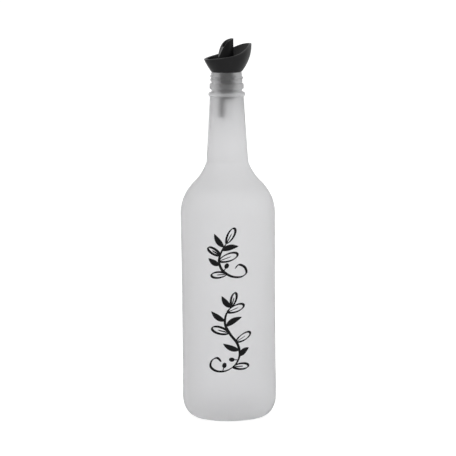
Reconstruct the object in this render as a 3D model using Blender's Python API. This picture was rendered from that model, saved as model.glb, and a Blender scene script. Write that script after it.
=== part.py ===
"""Frosted glass bottle for oil or vinegar, with a black pouring head, its plug and its air tube.

The bottle stands on the origin with +Z up, and the pouring lip points along +X. All sizes are in metres.
"""
import math

import bmesh
import bpy

MM = 0.001
GAP = 0.3 * MM

# Roundness of the turned pieces
BOTTLE_SIDES = 48
HEAD_SIDES = 48
PLUG_SIDES = 28
TUBE_SIDES = 20
HOLE_SIDES = 20

# Body of the bottle
RIM_HEIGHT = 284.2 * MM
BEARING_INNER_RADIUS = 23.4 * MM
BEARING_OUTER_RADIUS = 26.5 * MM
PUSH_UP = 2.5 * MM
HEEL_RADIUS = 38.5 * MM
HEEL_HEIGHT = 17.0 * MM
HEEL_BAND_TOP = 32.5 * MM
PANEL_RADIUS = 38.27 * MM
PANEL_BOTTOM = 39.5 * MM
PANEL_TOP = 123.5 * MM
PANEL_TOP_RADIUS = 38.42 * MM
SHOULDER_BASE = 168.0 * MM
SHOULDER_RADIUS = 38.8 * MM
SHOULDER_ARC = 36.6 * MM
SHOULDER_SLOPE = 46.0
THROAT_ARC = 42.0 * MM
THROAT_SLOPE = 20.0
KINK_ARC = 6.0 * MM

# Neck and screw finish
NECK_TOP = 263.5 * MM
NECK_TOP_RADIUS = 13.83 * MM
NECK_SLOPE = 4.2
BEAD_HEIGHT = 266.2 * MM
BEAD_ROOT_RADIUS = 13.6 * MM
BEAD_REACH = 1.35 * MM
BEAD_HALF_WIDTH = 1.8 * MM
GROOVE_RADIUS = 12.4 * MM
GROOVE_BOTTOM = 268.5 * MM
GROOVE_TOP = 270.3 * MM
BAND_RADIUS = 13.92 * MM
BAND_BOTTOM = 270.9 * MM
BAND_TOP = 274.8 * MM
THREAD_ROOT_RADIUS = 12.5 * MM
THREAD_ZONE_BOTTOM = 275.4 * MM
THREAD_DEPTH = 0.95 * MM
THREAD_HALF_WIDTH = 1.15 * MM
THREAD_PITCH = 3.0 * MM
THREAD_MARK_HEIGHT = 279.5 * MM
THREAD_MARK_ANGLE = -25.0
THREAD_START = -400.0
THREAD_END = 230.0
THREAD_FADE = 40.0
THREAD_ROW = 0.5 * MM
RIM_ROUND = 0.8 * MM

# Inside of the bottle
WALL = 2.8 * MM
BASE_THICKNESS = 4.5 * MM
INNER_HEEL = 12.0 * MM
BORE_RADIUS = 9.4 * MM
BORE_BOTTOM = 260.0 * MM
BORE_FLARE_BOTTOM = 251.5 * MM

# Drip collar of the pouring head, heights above the rim of the glass
COLLAR_FOOT_RADIUS = 12.25 * MM
COLLAR_WALL = 1.5 * MM
COLLAR_HALF_WIDTH = 16.8 * MM
LIP_REACH = 22.5 * MM
TAIL_REACH = 19.2 * MM
LIP_POINT = 1.55
TAIL_POINT = 1.14
LIP_BULGE = 2.3
TAIL_BULGE = 1.2
RIM_MID = 14.7 * MM
RIM_TILT = 6.1 * MM
RIM_CURL = 2.4 * MM
RIM_SWELL = 1.1 * MM
RIM_SWELL_LEAN = 0.4
LIP_ROUND = 0.35 * MM
COLLAR_FLOOR = 3.6 * MM
COLLAR_CEILING = 1.6 * MM
SEAT_RADIUS = 11.3 * MM
DRAIN_RADIUS = 1.0 * MM
DRAIN_REACH = 8.2 * MM

# Oval pouring tube in the middle of the collar, long way along X
SPOUT_HALF_LENGTH = 6.2 * MM
SPOUT_HALF_WIDTH = 3.9 * MM
SPOUT_WALL = 0.9 * MM
SPOUT_HEEL = 0.9 * MM
SPOUT_FILLET = 0.5 * MM
SPOUT_TOP = 27.5 * MM
CUT_SLOPE = 6.0 * MM
CUT_SLOPE_POWER = 1.5
CUT_DROOP = 8.6 * MM
CUT_DROOP_POWER = 4
FUNNEL_TOP = 8.0 * MM
FUNNEL_BOTTOM = 0.5 * MM
PASSAGE_RADIUS = 3.2 * MM
PASSAGE_OFFSET = 1.9 * MM
STUB_RADIUS = 3.9 * MM
STUB_DEPTH = 5.0 * MM

# Plug, heights below the rim of the glass
PLUG_FLANGE_RADIUS = 11.0 * MM
PLUG_FLANGE_THICKNESS = 1.0 * MM
PLUG_CORE_RADIUS = 6.6 * MM
PLUG_LENGTH = 22.0 * MM
FIN_RADIUS = 9.1 * MM
FIN_COUNT = 3
FIN_FIRST = 5.0 * MM
FIN_STEP = 6.0 * MM
FIN_ROOT = 2.0 * MM
FIN_TIP = 1.3 * MM
AIR_HOLE_RADIUS = 1.0 * MM
SPIGOT_RADIUS = 1.6 * MM
SPIGOT_LENGTH = 7.0 * MM
GROOVE_WIDTH = 2.0 * MM
GROOVE_DEPTH = 0.6 * MM

# Air tube
TUBE_OFFSET = -4.7 * MM
TUBE_RADIUS = 2.6 * MM
TUBE_BORE = 1.9 * MM
TUBE_END = 247.5 * MM

# Colours, as linear red, green and blue
FROSTED_GLASS = (0.66, 0.67, 0.68)
BLACK_PLASTIC = (0.013, 0.013, 0.014)
SOFT_BLACK_PLASTIC = (0.022, 0.022, 0.024)
TUBE_PLASTIC = (0.05, 0.05, 0.055)


def clear_scene():
    """Removes every object of the open file."""
    for thing in list(bpy.data.objects):
        bpy.data.objects.remove(thing, do_unlink=True)


def make_material(name, colour, roughness, transmission=0.0):
    """Makes one Principled material."""
    material = bpy.data.materials.new(name)
    material.use_nodes = True
    shader = material.node_tree.nodes["Principled BSDF"]
    shader.inputs["Base Color"].default_value = (*colour, 1.0)
    shader.inputs["Roughness"].default_value = roughness
    shader.inputs["Metallic"].default_value = 0.0
    shader.inputs["Transmission Weight"].default_value = transmission
    return material


def add_object(name, mesh_builder, material):
    """Turns a bmesh into a smooth-shaded object of the scene."""
    bmesh.ops.recalc_face_normals(mesh_builder, faces=mesh_builder.faces)
    mesh = bpy.data.meshes.new(name)
    mesh_builder.to_mesh(mesh)
    mesh_builder.free()
    mesh.materials.append(material)
    mesh.shade_smooth()
    mesh.set_sharp_from_angle(angle=math.radians(35))
    thing = bpy.data.objects.new(name, mesh)
    bpy.context.scene.collection.objects.link(thing)
    return thing


def arc(centre, radius, first, last, steps):
    """Points of a circular arc in the radius and height plane, with both ends."""
    angles = [math.radians(first + (last - first) * i / steps) for i in range(steps + 1)]
    return [(centre[0] + radius * math.cos(a), centre[1] + radius * math.sin(a)) for a in angles]


def oval_ring(half_length, half_width, height, sides, offset=0.0):
    """A level oval ring of points around the axis, or around a line set off along X."""
    turns = [2 * math.pi * i / sides for i in range(sides)]
    return [(offset + half_length * math.cos(a), half_width * math.sin(a), height) for a in turns]


def circle_ring(radius, height, sides, offset=0.0):
    """A level round ring of points."""
    return oval_ring(radius, radius, height, sides, offset)


def skin_rings(builder, rings, closed):
    """Joins rings of equal count into a skin, and the last to the first where it is closed."""
    rows = [[builder.verts.new(point) for point in ring] for ring in rings]
    pairs = list(zip(rows, rows[1:]))
    if closed:
        pairs.append((rows[-1], rows[0]))
    for lower, upper in pairs:
        count = len(lower)
        for i in range(count):
            j = (i + 1) % count
            builder.faces.new((lower[i], lower[j], upper[j], upper[i]))
    return rows


def close_with_pole(builder, row, height):
    """Closes a ring with a fan to a point on the axis."""
    pole = builder.verts.new((0.0, 0.0, height))
    for i in range(len(row)):
        builder.faces.new((row[i], row[(i + 1) % len(row)], pole))


def rod(name, radius, bottom, top, offset):
    """A closed upright rod that serves to cut or extend another object."""
    builder = bmesh.new()
    rows = skin_rings(
        builder,
        [circle_ring(radius, bottom, HOLE_SIDES, offset), circle_ring(radius, top, HOLE_SIDES, offset)],
        closed=False,
    )
    builder.faces.new(rows[0])
    builder.faces.new(rows[-1])
    return add_cutter(name, builder)


def cut_cylinder(target, name, radius, bottom, top, offset):
    """Cuts a straight round hole through an object and applies the cut."""
    apply_boolean(target, rod(name, radius, bottom, top, offset), "DIFFERENCE")


def cut_box(target, name, low, high):
    """Cuts a box between two corners out of an object and applies the cut."""
    builder = bmesh.new()
    bmesh.ops.create_cube(builder, size=1.0)
    for vertex in builder.verts:
        vertex.co = [(low[k] + high[k]) / 2 + vertex.co[k] * (high[k] - low[k]) for k in range(3)]
    apply_boolean(target, add_cutter(name, builder), "DIFFERENCE")


def add_cutter(name, builder):
    """Adds a closed shape that only serves to cut another one."""
    bmesh.ops.recalc_face_normals(builder, faces=builder.faces)
    mesh = bpy.data.meshes.new(name)
    builder.to_mesh(mesh)
    builder.free()
    cutter = bpy.data.objects.new(name, mesh)
    cutter.hide_render = True
    cutter.display_type = "WIRE"
    bpy.context.scene.collection.objects.link(cutter)
    return cutter


def apply_boolean(target, cutter, operation):
    """Cuts or joins the target with a closed shape, bakes the result and removes the shape."""
    modifier = target.modifiers.new("boolean", "BOOLEAN")
    modifier.operation = operation
    modifier.solver = "EXACT"
    modifier.object = cutter
    graph = bpy.context.evaluated_depsgraph_get()
    old_mesh = target.data
    target.data = bpy.data.meshes.new_from_object(target.evaluated_get(graph))
    target.modifiers.clear()
    bpy.data.meshes.remove(old_mesh)
    bpy.data.objects.remove(cutter, do_unlink=True)


def neck_radius(height):
    """Outer radius of the straight neck at a height."""
    return NECK_TOP_RADIUS + (NECK_TOP - height) * math.tan(math.radians(NECK_SLOPE))


def shoulder_centres():
    """Centres of the shoulder, throat and kink arcs, each one tangent to the next."""
    shoulder = (SHOULDER_RADIUS - SHOULDER_ARC, SHOULDER_BASE)
    slope = math.radians(SHOULDER_SLOPE)
    reach = SHOULDER_ARC + THROAT_ARC
    throat = (shoulder[0] + reach * math.cos(slope), shoulder[1] + reach * math.sin(slope))
    bend = math.radians(THROAT_SLOPE)
    back = THROAT_ARC - KINK_ARC
    kink = (throat[0] - back * math.cos(bend), throat[1] - back * math.sin(bend))
    return shoulder, throat, kink


def foot_profile():
    """Underside and heel, from the middle of the base out to the side wall."""
    push_up = []
    for share in (0.3, 0.6, 0.85, 1.0):
        push_up.append((BEARING_INNER_RADIUS * share, PUSH_UP * (1 - share ** 3)))
    heel = []
    for i in range(7):
        turn = math.radians(90 * i / 6)
        out = BEARING_OUTER_RADIUS + (HEEL_RADIUS - BEARING_OUTER_RADIUS) * math.sin(turn)
        heel.append((out, HEEL_HEIGHT * (1 - math.cos(turn))))
    return push_up + heel


def side_profile():
    """Side wall, shoulder, throat and straight neck, from the heel up."""
    shoulder, throat, kink = shoulder_centres()
    wall = [
        (HEEL_RADIUS, HEEL_BAND_TOP),
        (PANEL_RADIUS, PANEL_BOTTOM),
        (PANEL_TOP_RADIUS, PANEL_TOP),
    ]
    rise = arc(shoulder, SHOULDER_ARC, 0, SHOULDER_SLOPE, 8)
    sweep = arc(throat, THROAT_ARC, 180 + SHOULDER_SLOPE, 180 + THROAT_SLOPE, 5)[1:]
    bend = arc(kink, KINK_ARC, 180 + THROAT_SLOPE, 180 + NECK_SLOPE, 3)[1:]
    return wall + rise + sweep + bend + [(NECK_TOP_RADIUS, NECK_TOP)]


def finish_profile():
    """Support bead, groove, locking band and rows of the screw thread, up to the rim."""
    bead = []
    for i in range(7):
        turn = math.radians(-75 + 150 * i / 6)
        out = BEAD_ROOT_RADIUS + BEAD_REACH * math.cos(turn)
        bead.append((out, BEAD_HEIGHT + BEAD_HALF_WIDTH * math.sin(turn)))
    groove = [(GROOVE_RADIUS, GROOVE_BOTTOM), (GROOVE_RADIUS, GROOVE_TOP)]
    band = [(BAND_RADIUS, BAND_BOTTOM), (BAND_RADIUS, BAND_TOP)]
    rows = int(round((RIM_HEIGHT - RIM_ROUND - THREAD_ZONE_BOTTOM) / THREAD_ROW))
    height = RIM_HEIGHT - RIM_ROUND - THREAD_ZONE_BOTTOM
    thread = [(THREAD_ROOT_RADIUS, THREAD_ZONE_BOTTOM + height * i / rows) for i in range(rows + 1)]
    rim_centre = (THREAD_ROOT_RADIUS - RIM_ROUND, RIM_HEIGHT - RIM_ROUND)
    return bead + groove + band + thread + arc(rim_centre, RIM_ROUND, 0, 90, 3)[1:]


def inside_profile():
    """Inner wall, from the rim down to the inner heel."""
    shoulder, throat, _ = shoulder_centres()
    mouth = arc((BORE_RADIUS + RIM_ROUND, RIM_HEIGHT - RIM_ROUND), RIM_ROUND, 90, 180, 3)
    bore = [(BORE_RADIUS, BORE_BOTTOM), (neck_radius(BORE_FLARE_BOTTOM) - WALL, BORE_FLARE_BOTTOM)]
    sweep = arc(throat, THROAT_ARC + WALL, 180 + THROAT_SLOPE - 8, 180 + SHOULDER_SLOPE, 6)
    rise = arc(shoulder, SHOULDER_ARC - WALL, SHOULDER_SLOPE, 0, 7)[1:]
    inner_radius = PANEL_RADIUS - WALL
    floor_height = PUSH_UP + BASE_THICKNESS
    corner = (inner_radius - INNER_HEEL, floor_height + INNER_HEEL)
    heel = arc(corner, INNER_HEEL, 0, -90, 5)
    return mouth + bore + sweep + rise + heel + [(inner_radius * 0.33, floor_height)]


def thread_rise(angle, height):
    """How far the screw thread stands out at a place on the finish."""
    rise = 0.0
    for turn in (-2, -1, 0, 1):
        along = angle + 360 * turn
        if not THREAD_START < along < THREAD_END:
            continue
        crest = THREAD_MARK_HEIGHT + THREAD_PITCH * (along - THREAD_MARK_ANGLE) / 360
        away = abs(height - crest) / THREAD_HALF_WIDTH
        if away >= 1:
            continue
        fade = min(1.0, (along - THREAD_START) / THREAD_FADE, (THREAD_END - along) / THREAD_FADE)
        rise = max(rise, THREAD_DEPTH * fade * (1 - away ** 2.5))
    return rise


def bottle_ring(radius, height):
    """One ring of the bottle, with the thread where it runs."""
    in_thread = radius == THREAD_ROOT_RADIUS and height >= THREAD_ZONE_BOTTOM
    ring = []
    for i in range(BOTTLE_SIDES):
        degrees = 360 * i / BOTTLE_SIDES
        reach = radius + (thread_rise(degrees, height) if in_thread else 0.0)
        turn = math.radians(degrees)
        ring.append((reach * math.cos(turn), reach * math.sin(turn), height))
    return ring


def build_bottle(material):
    """The glass bottle, open at its mouth."""
    profile = foot_profile() + side_profile() + finish_profile() + inside_profile()
    builder = bmesh.new()
    rows = skin_rings(builder, [bottle_ring(r, z) for r, z in profile], closed=False)
    close_with_pole(builder, rows[0], PUSH_UP)
    close_with_pole(builder, rows[-1], PUSH_UP + BASE_THICKNESS)
    return add_object("bottle", builder, material)


def leaf_point(turn, inset):
    """A point on the leaf-shaped outline of the collar, moved inwards by an inset."""
    lip = LIP_REACH - 1.6 * inset
    tail = TAIL_REACH - 1.6 * inset
    along = (lip - tail) / 2 + (lip + tail) / 2 * math.cos(turn)
    point = LIP_POINT + (TAIL_POINT - LIP_POINT) * (1 - math.cos(turn)) / 2
    across = (COLLAR_HALF_WIDTH - inset) * math.copysign(abs(math.sin(turn)) ** point, math.sin(turn))
    return along, across


def rim_height(turn):
    """Height of the collar's rim above the glass: low at the tail, high at the pouring lip."""
    lean = 1 + RIM_SWELL_LEAN * (math.cos(turn) - 1)
    swell = RIM_SWELL * math.sin(2 * turn) ** 2 * lean
    return RIM_MID + RIM_TILT * math.cos(turn) + RIM_CURL * math.cos(turn) ** 2 + swell


def collar_point(turn, share, inset):
    """A point on the bowed wall of the collar, at a share of the height from foot to rim."""
    bulge = LIP_BULGE + (TAIL_BULGE - LIP_BULGE) * (1 - math.cos(turn)) / 2
    blend = 1 - (1 - share) ** bulge
    along, across = leaf_point(turn, inset)
    foot = COLLAR_FOOT_RADIUS - inset
    x = foot * math.cos(turn) * (1 - blend) + along * blend
    y = foot * math.sin(turn) * (1 - blend) + across * blend
    return x, y, RIM_HEIGHT + rim_height(turn) * share


def head_turns():
    """The angles of the head's points."""
    return [2 * math.pi * i / HEAD_SIDES for i in range(HEAD_SIDES)]


def outer_collar_rings():
    """Rings up the outside of the collar, from just above its foot to below the lip."""
    rings = [circle_ring(COLLAR_FOOT_RADIUS, RIM_HEIGHT + GAP, HEAD_SIDES)]
    for share in (0.1, 0.22, 0.36, 0.52, 0.7, 0.88):
        rings.append([collar_point(turn, share, 0.0) for turn in head_turns()])
    return rings


def lip_rings():
    """Rings over the rounded lip of the collar."""
    steps = ((0.0, LIP_ROUND), (LIP_ROUND, 0.0), (COLLAR_WALL - LIP_ROUND, 0.0), (COLLAR_WALL, LIP_ROUND))
    rings = []
    for inset, drop in steps:
        ring = []
        for turn in head_turns():
            x, y, z = collar_point(turn, 1.0, inset)
            ring.append((x, y, z - drop))
        rings.append(ring)
    return rings


def inner_collar_rings():
    """Rings down the inside of the collar to its floor."""
    rings = []
    for depth in (0.2, 0.45, 0.7, 1.0):
        ring = []
        for turn in head_turns():
            floor_share = COLLAR_FLOOR / rim_height(turn)
            share = 1 + (floor_share - 1) * depth
            ring.append(collar_point(turn, share, COLLAR_WALL))
        rings.append(ring)
    return rings


def cut_height(along):
    """Height of the slanted cut above the glass, by the place along X."""
    share = max(0.0, (1 - along / SPOUT_HALF_LENGTH) / 2)
    drop = CUT_SLOPE * share ** CUT_SLOPE_POWER + CUT_DROOP * share ** CUT_DROOP_POWER
    return RIM_HEIGHT + SPOUT_TOP - drop


def heel(turn, inset):
    """How far the outside of the pouring tube reaches further back, at an angle and an inset."""
    return SPOUT_HEEL * (1 - math.cos(turn)) / 2 * min(1.0, 1 - inset / SPOUT_WALL)


def cut_ring(inset, drop):
    """A ring of the pouring tube's slanted end, moved inwards by an inset."""
    length = SPOUT_HALF_LENGTH - inset
    width = SPOUT_HALF_WIDTH - inset
    ring = []
    for turn in head_turns():
        x = length * math.cos(turn)
        ring.append((x - heel(turn, inset), width * math.sin(turn), cut_height(x) - drop))
    return ring


def tube_ring(inset, height):
    """A level ring of the pouring tube, moved inwards by an inset."""
    back = heel(math.pi, inset) / 2
    length = SPOUT_HALF_LENGTH - inset + back
    return oval_ring(length, SPOUT_HALF_WIDTH - inset, RIM_HEIGHT + height, HEAD_SIDES, -back)


def spout_rings():
    """Rings up the outside of the pouring tube, over its cut end and down its bore."""
    edge = 0.2 * SPOUT_WALL
    return [
        tube_ring(-SPOUT_FILLET, COLLAR_FLOOR),
        tube_ring(0.0, COLLAR_FLOOR + 2 * SPOUT_FILLET),
        cut_ring(0.0, edge),
        cut_ring(edge, 0.0),
        cut_ring(SPOUT_WALL - edge, 0.0),
        cut_ring(SPOUT_WALL, edge),
        tube_ring(SPOUT_WALL, FUNNEL_TOP),
        circle_ring(PASSAGE_RADIUS, RIM_HEIGHT + FUNNEL_BOTTOM, HEAD_SIDES, PASSAGE_OFFSET),
    ]


def underside_rings():
    """Rings round the stub that enters the plug, and the seat over the plug's flange."""
    stub_end = RIM_HEIGHT - STUB_DEPTH
    ceiling = RIM_HEIGHT + COLLAR_CEILING
    return [
        circle_ring(PASSAGE_RADIUS, stub_end, HEAD_SIDES, PASSAGE_OFFSET),
        circle_ring(STUB_RADIUS, stub_end, HEAD_SIDES, PASSAGE_OFFSET),
        circle_ring(STUB_RADIUS, ceiling, HEAD_SIDES, PASSAGE_OFFSET),
        circle_ring(SEAT_RADIUS, ceiling, HEAD_SIDES),
        circle_ring(SEAT_RADIUS, RIM_HEIGHT + GAP, HEAD_SIDES),
    ]


def build_pourer_head(material):
    """The one-piece head: leaf-shaped drip collar, slant-cut pouring tube and stub."""
    builder = bmesh.new()
    rings = outer_collar_rings() + lip_rings() + inner_collar_rings() + spout_rings() + underside_rings()
    skin_rings(builder, rings, closed=True)
    head = add_object("pourer_head", builder, material)
    bottom = RIM_HEIGHT + COLLAR_CEILING - 1 * MM
    top = RIM_HEIGHT + COLLAR_FLOOR + 1 * MM
    cut_cylinder(head, "drain_cutter", DRAIN_RADIUS, bottom, top, -DRAIN_REACH)
    return head


def plug_profile():
    """Flange, core and sealing fins of the plug, from its top to its lower end."""
    flange_bottom = RIM_HEIGHT + GAP
    profile = [
        (PLUG_FLANGE_RADIUS, flange_bottom + PLUG_FLANGE_THICKNESS),
        (PLUG_FLANGE_RADIUS, flange_bottom),
        (FIN_RADIUS, flange_bottom),
        (FIN_RADIUS, RIM_HEIGHT - GAP),
        (PLUG_CORE_RADIUS, RIM_HEIGHT - FIN_ROOT),
    ]
    for i in range(FIN_COUNT):
        middle = RIM_HEIGHT - FIN_FIRST - FIN_STEP * i
        profile += [
            (PLUG_CORE_RADIUS, middle + FIN_ROOT),
            (FIN_RADIUS, middle + FIN_TIP),
            (FIN_RADIUS, middle - FIN_TIP),
            (PLUG_CORE_RADIUS, middle - FIN_ROOT),
        ]
    profile.append((PLUG_CORE_RADIUS, RIM_HEIGHT - PLUG_LENGTH))
    return profile


def build_stopper_plug(material):
    """The finned plug, with its pouring bore, its air hole and the spigot of the air tube."""
    builder = bmesh.new()
    rings = [circle_ring(radius, height, PLUG_SIDES) for radius, height in plug_profile()]
    rows = skin_rings(builder, rings, closed=False)
    builder.faces.new(rows[0])
    builder.faces.new(rows[-1])
    plug = add_object("stopper_plug", builder, material)
    above = RIM_HEIGHT + 5 * MM
    bottom = RIM_HEIGHT - PLUG_LENGTH
    below = bottom - 2 * SPIGOT_LENGTH
    spigot = rod("spigot", SPIGOT_RADIUS, bottom - SPIGOT_LENGTH, bottom + 1 * MM, TUBE_OFFSET)
    apply_boolean(plug, spigot, "UNION")
    cut_cylinder(plug, "bore_cutter", PASSAGE_RADIUS, below, above, PASSAGE_OFFSET)
    stub_floor = RIM_HEIGHT - STUB_DEPTH - GAP
    cut_cylinder(plug, "stub_cutter", STUB_RADIUS + GAP, stub_floor, above, PASSAGE_OFFSET)
    cut_cylinder(plug, "air_cutter", AIR_HOLE_RADIUS, below, above, TUBE_OFFSET)
    groove_floor = RIM_HEIGHT + GAP + PLUG_FLANGE_THICKNESS - GROOVE_DEPTH
    low = (-DRAIN_REACH - DRAIN_RADIUS, -GROOVE_WIDTH / 2, groove_floor)
    high = (TUBE_OFFSET, GROOVE_WIDTH / 2, above)
    cut_box(plug, "groove_cutter", low, high)
    return plug


def build_air_tube(material):
    """The soft tube over the plug's spigot that lets air in while the bottle pours."""
    top = RIM_HEIGHT - PLUG_LENGTH - GAP
    rings = [
        circle_ring(TUBE_RADIUS, top, TUBE_SIDES, TUBE_OFFSET),
        circle_ring(TUBE_BORE, top, TUBE_SIDES, TUBE_OFFSET),
        circle_ring(TUBE_BORE, TUBE_END, TUBE_SIDES, TUBE_OFFSET),
        circle_ring(TUBE_RADIUS, TUBE_END, TUBE_SIDES, TUBE_OFFSET),
    ]
    builder = bmesh.new()
    skin_rings(builder, rings, closed=True)
    return add_object("air_tube", builder, material)


def main():
    """Builds the four pieces and gathers them under one empty."""
    clear_scene()
    stand = bpy.data.objects.new("bottle_origin", None)
    bpy.context.scene.collection.objects.link(stand)
    pieces = [
        build_bottle(make_material("frosted_glass", FROSTED_GLASS, 0.55, 0.4)),
        build_pourer_head(make_material("black_plastic", BLACK_PLASTIC, 0.4)),
        build_stopper_plug(make_material("soft_black_plastic", SOFT_BLACK_PLASTIC, 0.6)),
        build_air_tube(make_material("tube_plastic", TUBE_PLASTIC, 0.5)),
    ]
    for piece in pieces:
        piece.parent = stand


main()
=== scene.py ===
"""Tall frosted oil bottle with a black pouring head, standing on a plain white studio floor."""

import logging
import math
from collections.abc import Callable, Sequence
from dataclasses import dataclass, field
from enum import Enum
from typing import Any, Union

import bmesh
import bpy
from mathutils import Matrix, Vector


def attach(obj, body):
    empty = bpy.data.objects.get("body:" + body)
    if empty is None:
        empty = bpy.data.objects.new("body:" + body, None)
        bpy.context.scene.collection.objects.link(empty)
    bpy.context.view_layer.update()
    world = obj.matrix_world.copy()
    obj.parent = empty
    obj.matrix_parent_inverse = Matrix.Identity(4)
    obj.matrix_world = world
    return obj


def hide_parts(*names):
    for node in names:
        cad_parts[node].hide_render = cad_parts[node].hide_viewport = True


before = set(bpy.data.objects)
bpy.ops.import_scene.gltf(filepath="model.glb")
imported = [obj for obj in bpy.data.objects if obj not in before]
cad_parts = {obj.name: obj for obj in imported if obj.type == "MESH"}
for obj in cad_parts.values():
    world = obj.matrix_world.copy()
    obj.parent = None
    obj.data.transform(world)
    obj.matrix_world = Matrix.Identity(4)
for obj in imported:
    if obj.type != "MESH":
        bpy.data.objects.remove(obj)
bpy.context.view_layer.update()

LOG = logging.getLogger("oil_bottle")
MM = 0.001
GLASS_RIM = 284.2 * MM
BEAD_HEIGHT = 266.2 * MM
GAP = 0.3 * MM
PASSAGE_RADIUS = 3.2 * MM
PASSAGE_OFFSET = 1.9 * MM
STUB_RADIUS = 3.9 * MM
STUB_DEPTH = 5.0 * MM
TUBE_OFFSET = -4.7 * MM
NOISE_SPAN = (0.3, 0.7)
SHARP_EDGE = 40.0
CORNER_SHARE = 0.45
ROD_SIDES = 48
WHITE = (1.0, 1.0, 1.0, 1.0)

Point = tuple[float, float, float]
Flat = tuple[float, float]
Ring = list[Point]
Thing = bpy.types.Object
Material = bpy.types.Material
Vertex = bmesh.types.BMVert
Socket = bpy.types.NodeSocket
Value = Union[float, Sequence[float], bool, str, Socket]

SOCKET_KINDS = {float: "NodeSocketFloat", Thing: "NodeSocketObject", Material: "NodeSocketMaterial"}


class Slot(Enum):
    """Material slots of the part."""

    GLASS = "frosted_glass"
    HEAD = "black_plastic"
    PLUG = "soft_black_plastic"
    TUBE = "tube_plastic"


class Node(Enum):
    """Nodes of the solid model that the pieces stand for."""

    BOTTLE = "bottle"
    HEAD = "pourer_head"
    PLUG = "stopper_plug"
    TUBE = "air_tube"


class Motif(Enum):
    """Shapes that are set along the stem of the printed sprig."""

    OPEN_LEAF = "Open Leaf"
    FULL_LEAF = "Full Leaf"
    OLIVE = "Olive"


@dataclass
class NodeSheet:
    """Adds and joins the nodes of one tree."""

    tree: bpy.types.NodeTree

    def feed(self, target: Socket, value: Value) -> None:
        """Sets an input to a value, or joins it to a socket.

        Args:
            target: The input.
            value: A plain value or the socket that feeds it.
        """
        if isinstance(value, bpy.types.NodeSocket):
            self.tree.links.new(value, target)
        else:
            target.default_value = value

    def set(self, node: bpy.types.Node, **inputs: Value) -> bpy.types.Node:
        """Feeds inputs of a node by name.

        Args:
            node: The node.
            inputs: Values or sockets; an underscore in a name stands for a space.

        Returns:
            The same node.
        """
        for name, value in inputs.items():
            self.feed(node.inputs[name.replace("_", " ")], value)
        return node

    def add(self, kind: str, settings: dict[str, Any] | None = None, **inputs: Value) -> bpy.types.Node:
        """Adds one node.

        Args:
            kind: Node type, such as "ShaderNodeBump".
            settings: Properties of the node.
            inputs: Values or sockets for its inputs, by name.

        Returns:
            The new node.
        """
        node = self.tree.nodes.new(kind)
        for name, value in (settings or {}).items():
            setattr(node, name, value)
        return self.set(node, **inputs)

    def calc(self, operation: str, *terms: Value) -> Socket:
        """Adds a maths node.

        Args:
            operation: Name of the operation.
            terms: Its one, two or three terms.

        Returns:
            The result's socket.
        """
        node = self.add("ShaderNodeMath", {"operation": operation})
        for place, term in zip(node.inputs, terms):
            self.feed(place, term)
        return node.outputs[0]

    def vector(self, **parts: Value) -> Socket:
        """Joins X, Y and Z to a vector."""
        return self.add("ShaderNodeCombineXYZ", **parts).outputs[0]

    def parts(self, vector: Socket) -> Any:
        """Splits a vector into its X, Y and Z sockets."""
        return self.add("ShaderNodeSeparateXYZ", Vector=vector).outputs

    def span(
        self, source: Value, marks: Flat, ends: Sequence[Value] = (0.0, 1.0), smooth: bool = False
    ) -> Socket:
        """Maps a value from one range to another, and holds it beyond the ends.

        Args:
            source: What is mapped.
            marks: Ends of its range.
            ends: Results at the two marks.
            smooth: Whether the result eases in and out.

        Returns:
            The result's socket.
        """
        kind = {"interpolation_type": "SMOOTHSTEP" if smooth else "LINEAR"}
        node = self.add("ShaderNodeMapRange", kind, Value=source, To_Min=ends[0], To_Max=ends[1])
        return self.set(node, From_Min=marks[0], From_Max=marks[1]).outputs["Result"]

    def mix(self, factor: Socket, *colours: Union[Point, Socket]) -> Socket:
        """Mixes two colours.

        Args:
            factor: Share of the second colour.
            colours: The two colours.

        Returns:
            The mixed colour's socket.
        """
        node = self.add("ShaderNodeMix", {"data_type": "RGBA"}, Factor=factor)
        for place, colour in zip((6, 7), colours):
            self.feed(node.inputs[place], (*colour, 1.0) if isinstance(colour, tuple) else colour)
        return node.outputs[2]

    def grain(self, scale: float, detail: float, stretch: Point = (1.0, 1.0, 1.0)) -> Socket:
        """Adds noise that is fixed to the piece.

        Args:
            scale: Grains to the metre.
            detail: How many finer layers it holds.
            stretch: Scale along each axis.

        Returns:
            The noise's value socket.
        """
        place = self.add("ShaderNodeTexCoord").outputs["Object"]
        turned = self.add("ShaderNodeMapping", Vector=place, Scale=stretch).outputs["Vector"]
        return self.add("ShaderNodeTexNoise", Vector=turned, Scale=scale, Detail=detail).outputs["Fac"]

    def relief(self, shader: bpy.types.Node, *layers: tuple[Socket, float]) -> None:
        """Lays bumps one over another on a shader.

        Args:
            shader: The shader.
            layers: Height socket and depth of each bump, the broadest first.
        """
        below: dict[str, Value] = {}
        for height, depth in layers:
            bump = self.add("ShaderNodeBump", Strength=1.0, Distance=depth, Height=height, **below)
            below = {"Normal": bump.outputs["Normal"]}
        self.set(shader, **below)


def new_material(name: str) -> tuple[Material, NodeSheet, bpy.types.Node]:
    """Makes a material with one shader.

    Args:
        name: The material's name.

    Returns:
        The material, its node sheet and its shader.
    """
    material = bpy.data.materials.new(name)
    material.use_nodes = True
    return material, NodeSheet(material.node_tree), material.node_tree.nodes["Principled BSDF"]


def new_thing(name: str, data: Any) -> Thing:
    """Puts data in the scene as an object.

    Args:
        name: The object's name.
        data: Its mesh, curve, lamp or camera.

    Returns:
        The object.
    """
    thing = bpy.data.objects.new(name, data)
    bpy.context.scene.collection.objects.link(thing)
    return thing


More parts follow.
